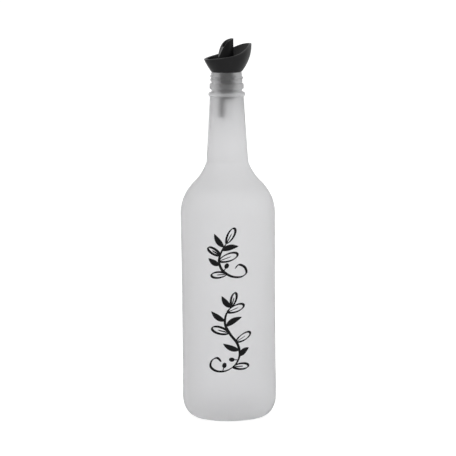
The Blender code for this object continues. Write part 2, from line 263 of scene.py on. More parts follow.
@dataclass(frozen=True)
class FrostedGlass:
    """Glass with an etched, satin skin, thicker on its bead; painted shade darkens the neck and the bottom.
    """

    name: str = "etched_glass"
    tint: Point = (0.992, 0.9918, 1.0)
    # Painted shade: a darker, slightly bluer tint towards the bottom of the glass.
    low_painted_shade: Point = (0.968, 0.968, 0.978)
    low_span: Flat = (30.0 * MM, 135.0 * MM)
    # Painted shade: the glass colour darkens up the neck, where the plug and head shade it.
    neck_painted_shade: Point = (0.765, 0.765, 0.772)
    neck_span: Flat = (222.0 * MM, 274.0 * MM)
    bead_height: float = BEAD_HEIGHT
    bead_span: Flat = (0.9 * MM, 1.9 * MM)
    bead_frost: float = 0.3
    bead_veil: float = 0.26
    mouth_span: Flat = (273.0 * MM, 277.0 * MM)
    clearness: Flat = (0.87, 0.94)
    roughness: Flat = (0.6, 0.7)
    index: float = 1.5
    etch_scale: float = 2600.0
    etch_depth: float = 0.02 * MM
    wave_scale: float = 45.0
    wave_depth: float = 0.12 * MM

    def make(self) -> Material:
        """Builds the material.

        Returns:
            The material.
        """
        material, sheet, shader = new_material(self.name)
        place = sheet.add("ShaderNodeTexCoord").outputs["Object"]
        height = sheet.parts(place)["Z"]
        away = sheet.calc("ABSOLUTE", sheet.calc("SUBTRACT", height, self.bead_height))
        frost = sheet.span(away, self.bead_span, (1.0, 0.0), True)
        mouth = sheet.span(height, self.mouth_span, self.clearness, True)
        low = sheet.span(height, self.low_span, smooth=True)
        neck = sheet.span(height, self.neck_span, smooth=True)
        cloud = sheet.grain(self.wave_scale, 3.0)
        etch = sheet.grain(self.etch_scale, 2.0)
        matt = sheet.span(cloud, NOISE_SPAN, self.roughness)
        # The base colour carries painted shade: darker up the neck and towards the bottom.
        sheet.set(
            shader,
            IOR=self.index,
            Transmission_Weight=sheet.calc("MULTIPLY_ADD", frost, -self.bead_veil, mouth),
            Base_Color=sheet.mix(neck, sheet.mix(low, self.low_painted_shade, self.tint), self.neck_painted_shade),
            Roughness=sheet.calc("MULTIPLY_ADD", frost, self.bead_frost, matt),
        )
        sheet.relief(shader, (cloud, self.wave_depth), (etch, self.etch_depth))
        return material


@dataclass(frozen=True)
class ClearGlass:
    """Smooth blown glass, as on the inner wall of the bottle."""

    name: str = "clear_glass"
    tint: Point = (0.9945, 0.9943, 1.0)
    roughness: Flat = (0.05, 0.09)
    index: float = 1.5
    wave_scale: float = 30.0
    wave_stretch: Point = (1.0, 1.0, 0.4)
    wave_depth: float = 0.2 * MM

    def make(self) -> Material:
        """Builds the material.

        Returns:
            The material.
        """
        material, sheet, shader = new_material(self.name)
        cloud = sheet.grain(self.wave_scale, 2.0, self.wave_stretch)
        sheet.set(shader, Base_Color=(*self.tint, 1.0), IOR=self.index, Transmission_Weight=1.0)
        sheet.set(shader, Roughness=sheet.span(cloud, NOISE_SPAN, self.roughness))
        sheet.relief(shader, (cloud, self.wave_depth))
        return material


@dataclass(frozen=True)
class MouldedPlastic:
    """Dyed plastic with the fine grain of its mould; some copies carry painted light or shade in their
    colour.
    """

    name: str
    dark: Point
    light: Point
    roughness: Flat
    gloss: float
    grain_scale: float = 3200.0
    grain_depth: float = 0.025 * MM
    flow_scale: float = 120.0
    flow_depth: float = 0.05 * MM

    def make(self) -> Material:
        """Builds the material.

        Returns:
            The material.
        """
        material, sheet, shader = new_material(self.name)
        flow = sheet.grain(self.flow_scale, 4.0)
        fine = sheet.grain(self.grain_scale, 2.0)
        shade = sheet.mix(sheet.span(flow, NOISE_SPAN), self.dark, self.light)
        matt = sheet.span(flow, NOISE_SPAN, self.roughness)
        sheet.set(shader, Base_Color=shade, Roughness=matt, Specular_IOR_Level=self.gloss)
        sheet.relief(shader, (flow, self.flow_depth), (fine, self.grain_depth))
        return material


HEAD_FINISH = MouldedPlastic(
    "moulded_black", (0.007, 0.007, 0.0075), (0.011, 0.011, 0.012), (0.34, 0.46), 0.22)
# Painted light: a lighter copy of the black for the inside of the collar, which would lie in shade.
INSIDE_PAINTED_LIGHT_FINISH = MouldedPlastic(
    "moulded_black_inside", (0.009, 0.009, 0.0095), (0.013, 0.013, 0.014), (0.3, 0.4), 0.5)
# Painted highlight: a lighter copy of the black for the collar's rounded lip.
RIM_PAINTED_HIGHLIGHT_FINISH = MouldedPlastic(
    "moulded_black_rim", (0.009, 0.009, 0.0095), (0.013, 0.013, 0.014), (0.3, 0.4), 0.45)
# Painted highlight: a much lighter copy of the black for the rounded edge of the slanted cut.
CUT_PAINTED_HIGHLIGHT_FINISH = MouldedPlastic("moulded_black_cut", (0.02, 0.02, 0.021), (0.03, 0.03, 0.031), (0.18, 0.28), 0.6)
# Painted shade: a darker copy of the black for the pouring tube and its bore.
SPOUT_PAINTED_SHADE_FINISH = MouldedPlastic(
    "moulded_black_spout", (0.003, 0.003, 0.0032), (0.005, 0.005, 0.0055), (0.3, 0.4), 0.12)
PLUG_FINISH = MouldedPlastic("soft_black", (0.012, 0.012, 0.013), (0.018, 0.018, 0.019), (0.55, 0.65), 0.25)
TUBE_FINISH = MouldedPlastic("tube_grey", (0.03, 0.03, 0.032), (0.042, 0.042, 0.045), (0.4, 0.5), 0.3)
INK_FINISH = MouldedPlastic("printed_ink", (0.004, 0.004, 0.0045), (0.007, 0.007, 0.0075), (0.5, 0.62), 0.15)


def shares(steps: int) -> list[float]:
    """Even shares from 0 to 1, with both ends."""
    return [i / steps for i in range(steps + 1)]


def turns(first: float, last: float, steps: int) -> list[float]:
    """Even angles in radians between two that are given in degrees, with both ends."""
    return [math.radians(first + (last - first) * i / steps) for i in range(steps + 1)]


def circle_turns(sides: int) -> list[float]:
    """Angles of an even ring, in radians."""
    return [2 * math.pi * i / sides for i in range(sides)]


def oval_ring(long: float, broad: float, height: float, sides: int, offset: float = 0.0) -> Ring:
    """A level oval ring with a half length and a half width, shifted along X."""
    return [(offset + long * math.cos(a), broad * math.sin(a), height) for a in circle_turns(sides)]


def round_ring(radius: float, height: float, sides: int, offset: float = 0.0) -> Ring:
    """A level round ring, shifted along X."""
    return oval_ring(radius, radius, height, sides, offset)


def arc(centre: Flat, radius: float, first: float, last: float, steps: int) -> list[Flat]:
    """Radius and height of each point of an arc between two angles in degrees, with both ends."""
    angles = turns(first, last, steps)
    return [(centre[0] + radius * math.cos(a), centre[1] + radius * math.sin(a)) for a in angles]


def soften(points: Sequence[Flat], reach: float, steps: int = 3) -> list[Flat]:
    """Rounds the inner corners of an open line.

    Args:
        points: The line's points.
        reach: How far from a corner the rounding starts.
        steps: How many chords a rounding has.

    Returns:
        The rounded line.
    """
    line = [points[0]]
    for before, corner, after in zip(points, points[1:], points[2:]):
        mid = Vector(corner)
        back = Vector(before) - mid
        ahead = Vector(after) - mid
        start = mid + back.normalized() * min(reach, back.length * CORNER_SHARE)
        end = mid + ahead.normalized() * min(reach, ahead.length * CORNER_SHARE)
        for share in shares(steps):
            place = start * (1 - share) ** 2 + mid * 2 * share * (1 - share) + end * share ** 2
            line.append((place.x, place.y))
    line.append(points[-1])
    return line


def lip_steps(thickness: float, radius: float, steps: int) -> list[Flat]:
    """Steps over a wall's end with both edges rounded.

    Args:
        thickness: The wall's thickness.
        radius: Radius of each edge.
        steps: How many chords an edge has.

    Returns:
        How far each step lies inwards and how far it is lowered, from the outside in.
    """
    outer = [(radius * (1 - math.cos(a)), radius * (1 - math.sin(a))) for a in turns(0, 90, steps)]
    return outer + [(thickness - drop, inset) for inset, drop in outer]


class RingSkin:
    """A mesh that is skinned over rings of equal count."""

    def __init__(self) -> None:
        """Starts with nothing."""
        self.builder = bmesh.new()

    def skin(self, rings: Sequence[Ring], closed: bool = False) -> list[list[Vertex]]:
        """Joins rings, each to the next.

        Args:
            rings: The rings in order.
            closed: Whether the last ring is joined to the first.

        Returns:
            The rows of vertices.
        """
        rows = [[self.builder.verts.new(point) for point in ring] for ring in rings]
        for lower, upper in zip(rows, rows[1:] + rows[:1] if closed else rows[1:]):
            for i in range(len(lower)):
                j = (i + 1) % len(lower)
                self.builder.faces.new((lower[i], lower[j], upper[j], upper[i]))
        return rows

    def fan(self, row: Sequence[Vertex], height: float) -> None:
        """Closes a ring with a fan to a pole on the axis.

        Args:
            row: The ring's vertices.
            height: Height of the pole.
        """
        pole = self.builder.verts.new((0.0, 0.0, height))
        for i in range(len(row)):
            self.builder.faces.new((row[i], row[(i + 1) % len(row)], pole))

    def solid(self, rings: Sequence[Ring]) -> "RingSkin":
        """Skins rings and closes both ends with flat faces.

        Args:
            rings: The rings in order.

        Returns:
            The skin itself.
        """
        rows = self.skin(rings)
        for row in (rows[0], rows[-1]):
            self.builder.faces.new(row)
        return self

    def place(self, name: str, *materials: Material) -> Thing:
        """Turns the mesh into an object with faces that point outwards.

        Args:
            name: The object's name.
            materials: Its materials in order.

        Returns:
            The object.
        """
        bmesh.ops.recalc_face_normals(self.builder, faces=self.builder.faces)
        mesh = bpy.data.meshes.new(name)
        self.builder.to_mesh(mesh)
        self.builder.free()
        for material in materials:
            mesh.materials.append(material)
        mesh.shade_smooth()
        mesh.set_sharp_from_angle(angle=math.radians(SHARP_EDGE))
        return new_thing(name, mesh)


def combine(target: Thing, cutter: Thing, operation: str) -> None:
    """Cuts or joins a piece with a closed shape, and removes the shape.

    Args:
        target: The piece that stays.
        cutter: The shape that goes.
        operation: DIFFERENCE or UNION.
    """
    modifier = target.modifiers.new("boolean", "BOOLEAN")
    modifier.operation = operation
    modifier.solver = "EXACT"
    modifier.object = cutter
    graph = bpy.context.evaluated_depsgraph_get()
    old_mesh = target.data
    target.data = bpy.data.meshes.new_from_object(target.evaluated_get(graph))
    target.modifiers.clear()
    target.data.name = target.name
    bpy.data.meshes.remove(old_mesh)
    bpy.data.objects.remove(cutter, do_unlink=True)


def rod(radius: float, bottom: float, top: float, offset: float) -> Thing:
    """Makes a closed upright rod, shifted along X."""
    ends = [round_ring(radius, height, ROD_SIDES, offset) for height in (bottom, top)]
    return RingSkin().solid(ends).place("rod")


def drill(target: Thing, radius: float, bottom: float, top: float, offset: float) -> None:
    """Drills a straight round hole, shifted along X."""
    combine(target, rod(radius, bottom, top, offset), "DIFFERENCE")


def settle(piece: Thing, slot: Slot, *nodes: Node) -> Thing:
    """Fixes a finished piece to the bottle and reports it.

    Args:
        piece: The finished piece.
        slot: The slot that is named in its log line.
        nodes: The nodes of the solid model that it stands for.

    Returns:
        The piece.
    """
    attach(piece, "root")
    if nodes:
        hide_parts(*[node.value for node in nodes])
    LOG.info("%s: %d faces, slot %s", piece.name, len(piece.data.polygons), slot.value)
    return piece


@dataclass
class Bottle:
    """The blown bottle: heel, panel, shoulder, neck and screw finish."""

    sides: int = 192
    rim_height: float = GLASS_RIM
    bearing_inner: float = 23.4 * MM
    bearing_outer: float = 26.5 * MM
    push_up: float = 2.5 * MM
    under_steps: int = 14
    heel_radius: float = 38.5 * MM
    heel_height: float = 17.0 * MM
    heel_steps: int = 20
    heel_band_top: float = 32.5 * MM
    panel_radius: float = 38.27 * MM
    panel_bottom: float = 39.5 * MM
    panel_top: float = 123.5 * MM
    panel_top_radius: float = 38.42 * MM
    shoulder_base: float = 168.0 * MM
    shoulder_radius: float = 38.8 * MM
    shoulder_arc: float = 36.6 * MM
    shoulder_slope: float = 46.0
    throat_arc: float = 42.0 * MM
    throat_slope: float = 20.0
    kink_arc: float = 6.0 * MM
    outer_steps: tuple[int, ...] = (20, 14, 6)
    inner_steps: tuple[int, ...] = (18, 16, 8)
    neck_top: float = 263.5 * MM
    neck_top_radius: float = 13.83 * MM
    neck_slope: float = 4.2
    bead_height: float = BEAD_HEIGHT
    bead_root: float = 13.6 * MM
    bead_reach: float = 1.35 * MM
    bead_half_width: float = 1.8 * MM
    bead_turn: float = 75.0
    bead_steps: int = 14
    groove_radius: float = 12.4 * MM
    groove_bottom: float = 268.5 * MM
    groove_top: float = 270.3 * MM
    band_radius: float = 13.92 * MM
    band_bottom: float = 270.9 * MM
    band_top: float = 274.8 * MM
    thread_root: float = 12.5 * MM
    thread_bottom: float = 275.4 * MM
    thread_depth: float = 0.95 * MM
    thread_half_width: float = 1.15 * MM
    thread_pitch: float = 3.0 * MM
    thread_mark_height: float = 279.5 * MM
    thread_mark_angle: float = -25.0
    thread_start: float = -400.0
    thread_end: float = 230.0
    thread_fade: float = 40.0
    thread_power: float = 2.5
    thread_row: float = 0.25 * MM
    rim_round: float = 0.8 * MM
    rim_steps: int = 6
    corner: float = 0.45 * MM
    wall: float = 2.8 * MM
    base_thickness: float = 4.5 * MM
    inner_heel: float = 12.0 * MM
    inner_heel_steps: int = 12
    floor_share: float = 0.33
    bore_radius: float = 9.4 * MM
    bore_bottom: float = 260.0 * MM
    bore_corner: float = 3.0 * MM
    flare_bottom: float = 251.5 * MM
    skin: FrostedGlass = field(default_factory=FrostedGlass)
    lining: ClearGlass = field(default_factory=ClearGlass)

    def neck_radius(self, height: float) -> float:
        """Outer radius of the straight neck at a height."""
        return self.neck_top_radius + (self.neck_top - height) * math.tan(math.radians(self.neck_slope))

    def arc_centres(self) -> tuple[Flat, Flat, Flat]:
        """Centres of the shoulder, throat and kink arcs, each tangent to the next.

        Returns:
            The three centres.
        """
        shoulder = (self.shoulder_radius - self.shoulder_arc, self.shoulder_base)
        slope = math.radians(self.shoulder_slope)
        reach = self.shoulder_arc + self.throat_arc
        throat = (shoulder[0] + reach * math.cos(slope), shoulder[1] + reach * math.sin(slope))
        bend = math.radians(self.throat_slope)
        back = self.throat_arc - self.kink_arc
        kink = (throat[0] - back * math.cos(bend), throat[1] - back * math.sin(bend))
        return shoulder, throat, kink

    def foot_line(self) -> list[Flat]:
        """Underside and heel, from the middle of the base out to the side wall.

        Returns:
            Points as radius and height.
        """
        inner = shares(self.under_steps)[1:]
        under = [(self.bearing_inner * share, self.push_up * (1 - share ** 3)) for share in inner]
        rest = self.bearing_outer
        grow = self.heel_radius - rest
        bends = turns(0, 90, self.heel_steps)
        return under + [(rest + grow * math.sin(a), self.heel_height * (1 - math.cos(a))) for a in bends]

    def side_line(self) -> list[Flat]:
        """Side wall, shoulder, throat and straight neck, from the heel up.

        Returns:
            Points as radius and height.
        """
        shoulder, throat, kink = self.arc_centres()
        wall = [
            (self.heel_radius, self.heel_band_top),
            (self.panel_radius, self.panel_bottom),
            (self.panel_top_radius, self.panel_top),
        ]
        steps = self.outer_steps
        slant = 180 + self.throat_slope
        rise = arc(shoulder, self.shoulder_arc, 0, self.shoulder_slope, steps[0])
        sweep = arc(throat, self.throat_arc, 180 + self.shoulder_slope, slant, steps[1])
        bend = arc(kink, self.kink_arc, slant, 180 + self.neck_slope, steps[2])
        return wall + rise + sweep[1:] + bend[1:]

    def finish_line(self) -> list[Flat]:
        """Support bead, groove and locking band, below the screw thread.

        Returns:
            Points as radius and height.
        """
        bead = []
        for turn in turns(-self.bead_turn, self.bead_turn, self.bead_steps):
            out = self.bead_root + self.bead_reach * math.cos(turn)
            bead.append((out, self.bead_height + self.bead_half_width * math.sin(turn)))
        ring = [
            bead[-1],
            (self.groove_radius, self.groove_bottom),
            (self.groove_radius, self.groove_top),
            (self.band_radius, self.band_bottom),
            (self.band_radius, self.band_top),
            (self.thread_root, self.thread_bottom),
            (self.thread_root, self.thread_bottom + self.corner),
        ]
        return [(self.neck_top_radius, self.neck_top)] + bead[:-1] + soften(ring, self.corner)

    def thread_line(self) -> list[Flat]:
        """Fine rows of the screw thread and the rounded rim above it.

        Returns:
            Points as radius and height.
        """
        bottom = self.thread_bottom + self.corner
        height = self.rim_height - self.rim_round - bottom
        rows = int(round(height / self.thread_row))
        thread = [(self.thread_root, bottom + height * i / rows) for i in range(1, rows + 1)]
        rim = (self.thread_root - self.rim_round, self.rim_height - self.rim_round)
        return thread + arc(rim, self.rim_round, 0, 90, self.rim_steps)[1:]

    def inside_line(self) -> list[Flat]:
        """Inner wall, from the rim down to the inner heel.

        Returns:
            Points as radius and height.
        """
        shoulder, throat, kink = self.arc_centres()
        mouth = (self.bore_radius + self.rim_round, self.rim_height - self.rim_round)
        rim = arc(mouth, self.rim_round, 90, 180, self.rim_steps)
        flare = (self.neck_radius(self.flare_bottom) - self.wall, self.flare_bottom)
        steps = self.inner_steps
        slant = 180 + self.throat_slope
        bend = arc(kink, self.kink_arc + self.wall, 180 + self.neck_slope, slant, steps[2])
        sweep = arc(throat, self.throat_arc + self.wall, slant, 180 + self.shoulder_slope, steps[1])
        rise = arc(shoulder, self.shoulder_arc - self.wall, self.shoulder_slope, 0, steps[0])
        inner = self.panel_radius - self.wall
        floor = self.push_up + self.base_thickness
        bend_centre = (inner - self.inner_heel, floor + self.inner_heel)
        heel = arc(bend_centre, self.inner_heel, 0, -90, self.inner_heel_steps)
        bore = soften([rim[-1], (self.bore_radius, self.bore_bottom), flare, bend[0]], self.bore_corner)
        return rim + bore[1:] + bend[1:] + sweep[1:] + rise[1:] + heel + [(inner * self.floor_share, floor)]

    def thread_rise(self, angle: float, height: float) -> float:
        """How far the screw thread stands out.

        Args:
            angle: Place round the neck, in degrees.
            height: Height of the place.

        Returns:
            The rise over the thread's root.
        """
        rise = 0.0
        for turn in (-2, -1, 0, 1):
            along = angle + 360 * turn
            crest = self.thread_mark_height + self.thread_pitch * (along - self.thread_mark_angle) / 360
            away = abs(height - crest) / self.thread_half_width
            if self.thread_start < along < self.thread_end and away < 1:
                fade = min(1.0, min(along - self.thread_start, self.thread_end - along) / self.thread_fade)
                rise = max(rise, self.thread_depth * fade * (1 - away ** self.thread_power))
        return rise

    def thread_ring(self, height: float) -> Ring:
        """One ring of the screw thread.

        Args:
            height: Its height.

        Returns:
            Its points.
        """
        points = []
        for turn in circle_turns(self.sides):
            reach = self.thread_root + self.thread_rise(math.degrees(turn), height)
            points.append((reach * math.cos(turn), reach * math.sin(turn), height))
        return points

    def build(self) -> Thing:
        """Builds and dresses the bottle.

        Returns:
            The finished piece.
        """
        outside = self.foot_line() + self.side_line() + self.finish_line()
        threaded = self.thread_line()
        rings = [round_ring(r, z, self.sides) for r, z in outside]
        for r, z in threaded:
            rings.append(self.thread_ring(z) if r == self.thread_root else round_ring(r, z, self.sides))
        rings += [round_ring(r, z, self.sides) for r, z in self.inside_line()]
        skin = RingSkin()
        rows = skin.skin(rings)
        skin.fan(rows[0], self.push_up)
        skin.fan(rows[-1], self.push_up + self.base_thickness)
        lining_from = len(outside) + len(threaded) + self.rim_steps // 2
        lined = {vertex for row in rows[lining_from:] for vertex in row}
        for face in skin.builder.faces:
            face.material_index = int(all(vertex in lined for vertex in face.verts))
        piece = skin.place("glass_bottle", self.skin.make(), self.lining.make())
        return settle(piece, Slot.GLASS, Node.BOTTLE)


@dataclass
class PouringHead:
    """The one-piece pouring head: drip collar with its lip, oval pouring tube and stub."""

    sides: int = 160
    glass_rim: float = GLASS_RIM
    gap: float = GAP
    foot_radius: float = 12.25 * MM
    wall: float = 1.5 * MM
    half_width: float = 16.8 * MM
    lip_reach: float = 22.5 * MM
    tail_reach: float = 19.2 * MM
    tip_inset: float = 1.6
    lip_point: float = 1.55
    tail_point: float = 1.14
    lip_bulge: float = 2.3
    tail_bulge: float = 1.2
    rim_mid: float = 14.7 * MM
    rim_tilt: float = 6.1 * MM
    rim_curl: float = 2.4 * MM
    rim_swell: float = 1.1 * MM
    rim_swell_lean: float = 0.4
    outer_shares: Flat = (0.06, 0.96)
    outer_steps: int = 22
    lip_round: float = 0.6 * MM
    lip_steps: int = 5
    floor: float = 3.6 * MM
    inner_steps: int = 14
    inner_low: float = 0.8 * MM
    floor_corner: tuple[Flat, ...] = ((0.35 * MM, 0.15 * MM), (0.08 * MM, 0.4 * MM), (0.0, 0.9 * MM))
    ceiling: float = 1.6 * MM
    seat_radius: float = 11.3 * MM
    drain_radius: float = 1.0 * MM
    drain_reach: float = 8.2 * MM
    spout_half_length: float = 6.2 * MM
    spout_half_width: float = 3.9 * MM
    spout_wall: float = 0.9 * MM
    spout_flare: float = 2.2 * MM
    spout_heel: float = 0.9 * MM
    spout_fillet: float = 0.5 * MM
    spout_top: float = 27.5 * MM
    cut_slope: float = 6.0 * MM
    cut_slope_power: float = 1.5
    cut_droop: float = 8.6 * MM
    cut_droop_power: float = 4.0
    funnel_top: float = 8.0 * MM
    funnel_bottom: float = 0.5 * MM
    passage_radius: float = PASSAGE_RADIUS
    passage_offset: float = PASSAGE_OFFSET
    stub_radius: float = STUB_RADIUS
    stub_depth: float = STUB_DEPTH
    fillet_steps: int = 5
    edge_round: float = 0.3
    edge_steps: int = 4
    # Plain black, then copies with a painted highlight on the lip, painted light inside, painted shade on the
    # tube and a painted highlight on the cut.
    finishes_and_painted_light: tuple[MouldedPlastic, ...] = (HEAD_FINISH, RIM_PAINTED_HIGHLIGHT_FINISH, INSIDE_PAINTED_LIGHT_FINISH, SPOUT_PAINTED_SHADE_FINISH, CUT_PAINTED_HIGHLIGHT_FINISH)

    def rim_rise(self, turn: float) -> float:
        """Height of the collar's rim above the glass at an angle."""
        swell = self.rim_swell * math.sin(2 * turn) ** 2 * (1 + self.rim_swell_lean * (math.cos(turn) - 1))
        return self.rim_mid + self.rim_tilt * math.cos(turn) + self.rim_curl * math.cos(turn) ** 2 + swell

    def leaf_point(self, turn: float, inset: float) -> Flat:
        """A point on the leaf-shaped outline of the collar.

        Args:
            turn: Angle round the outline.
            inset: How far it is moved inwards.

        Returns:
            The point in plan.
        """
        lip = self.lip_reach - self.tip_inset * inset
        tail = self.tail_reach - self.tip_inset * inset
        along = (lip - tail) / 2 + (lip + tail) / 2 * math.cos(turn)
        point = self.lip_point + (self.tail_point - self.lip_point) * (1 - math.cos(turn)) / 2
        across = (self.half_width - inset) * math.copysign(abs(math.sin(turn)) ** point, math.sin(turn))
        return along, across

    def wall_ring(self, share_at: Callable[[float], float], inset: float, drop: float = 0.0) -> Ring:
        """A ring on the bowed wall of the collar.

        Args:
            share_at: Share of the height from foot to rim, by angle.
            inset: How far the ring is moved inwards.
            drop: How far it is lowered.

        Returns:
            Its points.
        """
        ring = []
        for turn in circle_turns(self.sides):
            share = share_at(turn)
            bulge = self.lip_bulge + (self.tail_bulge - self.lip_bulge) * (1 - math.cos(turn)) / 2
            blend = 1 - (1 - share) ** bulge
            along, across = self.leaf_point(turn, inset)
            foot = self.foot_radius - inset
            x = foot * math.cos(turn) * (1 - blend) + along * blend
            y = foot * math.sin(turn) * (1 - blend) + across * blend
            ring.append((x, y, self.glass_rim + self.rim_rise(turn) * share - drop))
        return ring

    def outer_rings(self) -> list[Ring]:
        """Rings up the outside of the collar.

        Returns:
            The rings.
        """
        first, last = self.outer_shares
        foot = round_ring(self.foot_radius, self.glass_rim + self.gap, self.sides)
        heights = [first + (last - first) * i / self.outer_steps for i in range(self.outer_steps + 1)]
        return [foot] + [self.wall_ring(lambda turn, h=height: h, 0.0) for height in heights]

    def lip_rings(self) -> list[Ring]:
        """Rings over the rounded lip of the collar."""
        steps = lip_steps(self.wall, self.lip_round, self.lip_steps)
        return [self.wall_ring(lambda turn: 1.0, inset, drop) for inset, drop in steps]

    def inner_rings(self) -> list[Ring]:
        """Rings down the inside of the collar and into its rounded floor corner.

        Returns:
            The rings.
        """
        low = self.floor + self.inner_low
        rings = []
        for depth in shares(self.inner_steps)[1:]:
            rings.append(self.wall_ring(
                lambda turn, d=depth: 1 + (low / self.rim_rise(turn) - 1) * d, self.wall))
        for lift, inset in self.floor_corner:
            height = self.floor + lift
            rings.append(self.wall_ring(lambda turn, h=height: h / self.rim_rise(turn), self.wall + inset))
        return rings

    def cut_height(self, along: float) -> float:
        """Height of the slanted cut.

        Args:
            along: Place along X.

        Returns:
            The height there.
        """
        share = max(0.0, (1 - along / self.spout_half_length) / 2)
        drop = self.cut_slope * share ** self.cut_slope_power + self.cut_droop * share ** self.cut_droop_power
        return self.glass_rim + self.spout_top - drop

    def heel(self, turn: float, inset: float) -> float:
        """How far the outside of the pouring tube reaches further back, at an angle and an inset."""
        return self.spout_heel * (1 - math.cos(turn)) / 2 * min(1.0, 1 - inset / self.spout_wall)

    def cut_ring(self, inset: float, drop: float) -> Ring:
        """A ring of the slanted end of the pouring tube.

        Args:
            inset: How far it is moved inwards.
            drop: How far it is lowered.

        Returns:
            Its points.
        """
        length = self.spout_half_length - inset
        width = self.spout_half_width - inset
        broad = self.spout_flare * inset / self.spout_wall
        ring = []
        for turn in circle_turns(self.sides):
            x = length * math.cos(turn) + broad * ((1 - math.cos(turn)) / 2) ** 3
            ring.append((x - self.heel(turn, inset), width * math.sin(turn), self.cut_height(x) - drop))
        return ring

    def tube_ring(self, inset: float, height: float) -> Ring:
        """A level ring of the pouring tube.

        Args:
            inset: How far it is moved inwards.
            height: Its height above the glass.

        Returns:
            Its points.
        """
        back = self.heel(math.pi, inset) / 2
        length = self.spout_half_length - inset + back
        return oval_ring(length, self.spout_half_width - inset, self.glass_rim + height, self.sides, -back)

    def spout_rings(self) -> list[Ring]:
        """Rings up the pouring tube, over its cut end and down its bore.

        Returns:
            The rings.
        """
        rings = []
        for turn in turns(0, 90, self.fillet_steps):
            out = self.spout_fillet * (1 - math.sin(turn))
            rings.append(self.tube_ring(-out, self.floor + 2 * self.spout_fillet * (1 - math.cos(turn))))
        edge = lip_steps(self.spout_wall, self.edge_round * self.spout_wall, self.edge_steps)
        rings += [self.cut_ring(inset, drop) for inset, drop in edge]
        rings.append(self.tube_ring(self.spout_wall, self.funnel_top))
        throat = self.glass_rim + self.funnel_bottom
        rings.append(round_ring(self.passage_radius, throat, self.sides, self.passage_offset))
        return rings

    def under_rings(self) -> list[Ring]:
        """Rings round the stub and up to the seat over the plug.

        Returns:
            The rings.
        """
        end = self.glass_rim - self.stub_depth
        ceiling = self.glass_rim + self.ceiling
        return [
            round_ring(self.passage_radius, end, self.sides, self.passage_offset),
            round_ring(self.stub_radius, end, self.sides, self.passage_offset),
            round_ring(self.stub_radius, ceiling, self.sides, self.passage_offset),
            round_ring(self.seat_radius, ceiling, self.sides),
            round_ring(self.seat_radius, self.glass_rim + self.gap, self.sides),
        ]

    def build(self) -> Thing:
        """Builds and dresses the head.

        Returns:
            The finished piece.
        """
        spout = self.spout_rings()
        edge = 2 * (self.edge_steps + 1)
        # Slots 1 (lip) and 2 (inside) carry painted light, slot 4 (cut edge) a painted highlight, slot 3
        # (tube and bore) painted shade.
        stretches = (
            (self.outer_rings(), 0),
            (self.lip_rings(), 1),
            (self.inner_rings(), 2),
            (spout[:-edge - 2], 3),
            (spout[-edge - 2:-2], 4),
            (spout[-2:], 3),
            (self.under_rings(), 0),
        )
        skin = RingSkin()
        skin.skin([ring for rings, finish in stretches for ring in rings], closed=True)
        parts = [finish for rings, finish in stretches for ring in rings]
        for place, face in enumerate(skin.builder.faces):
            face.material_index = parts[place // self.sides]
        piece = skin.place("pouring_head", *[finish.make() for finish in self.finishes_and_painted_light])
        bottom = self.glass_rim + self.ceiling - MM
        drill(piece, self.drain_radius, bottom, self.glass_rim + self.floor + MM, -self.drain_reach)
        return settle(piece, Slot.HEAD, Node.HEAD)


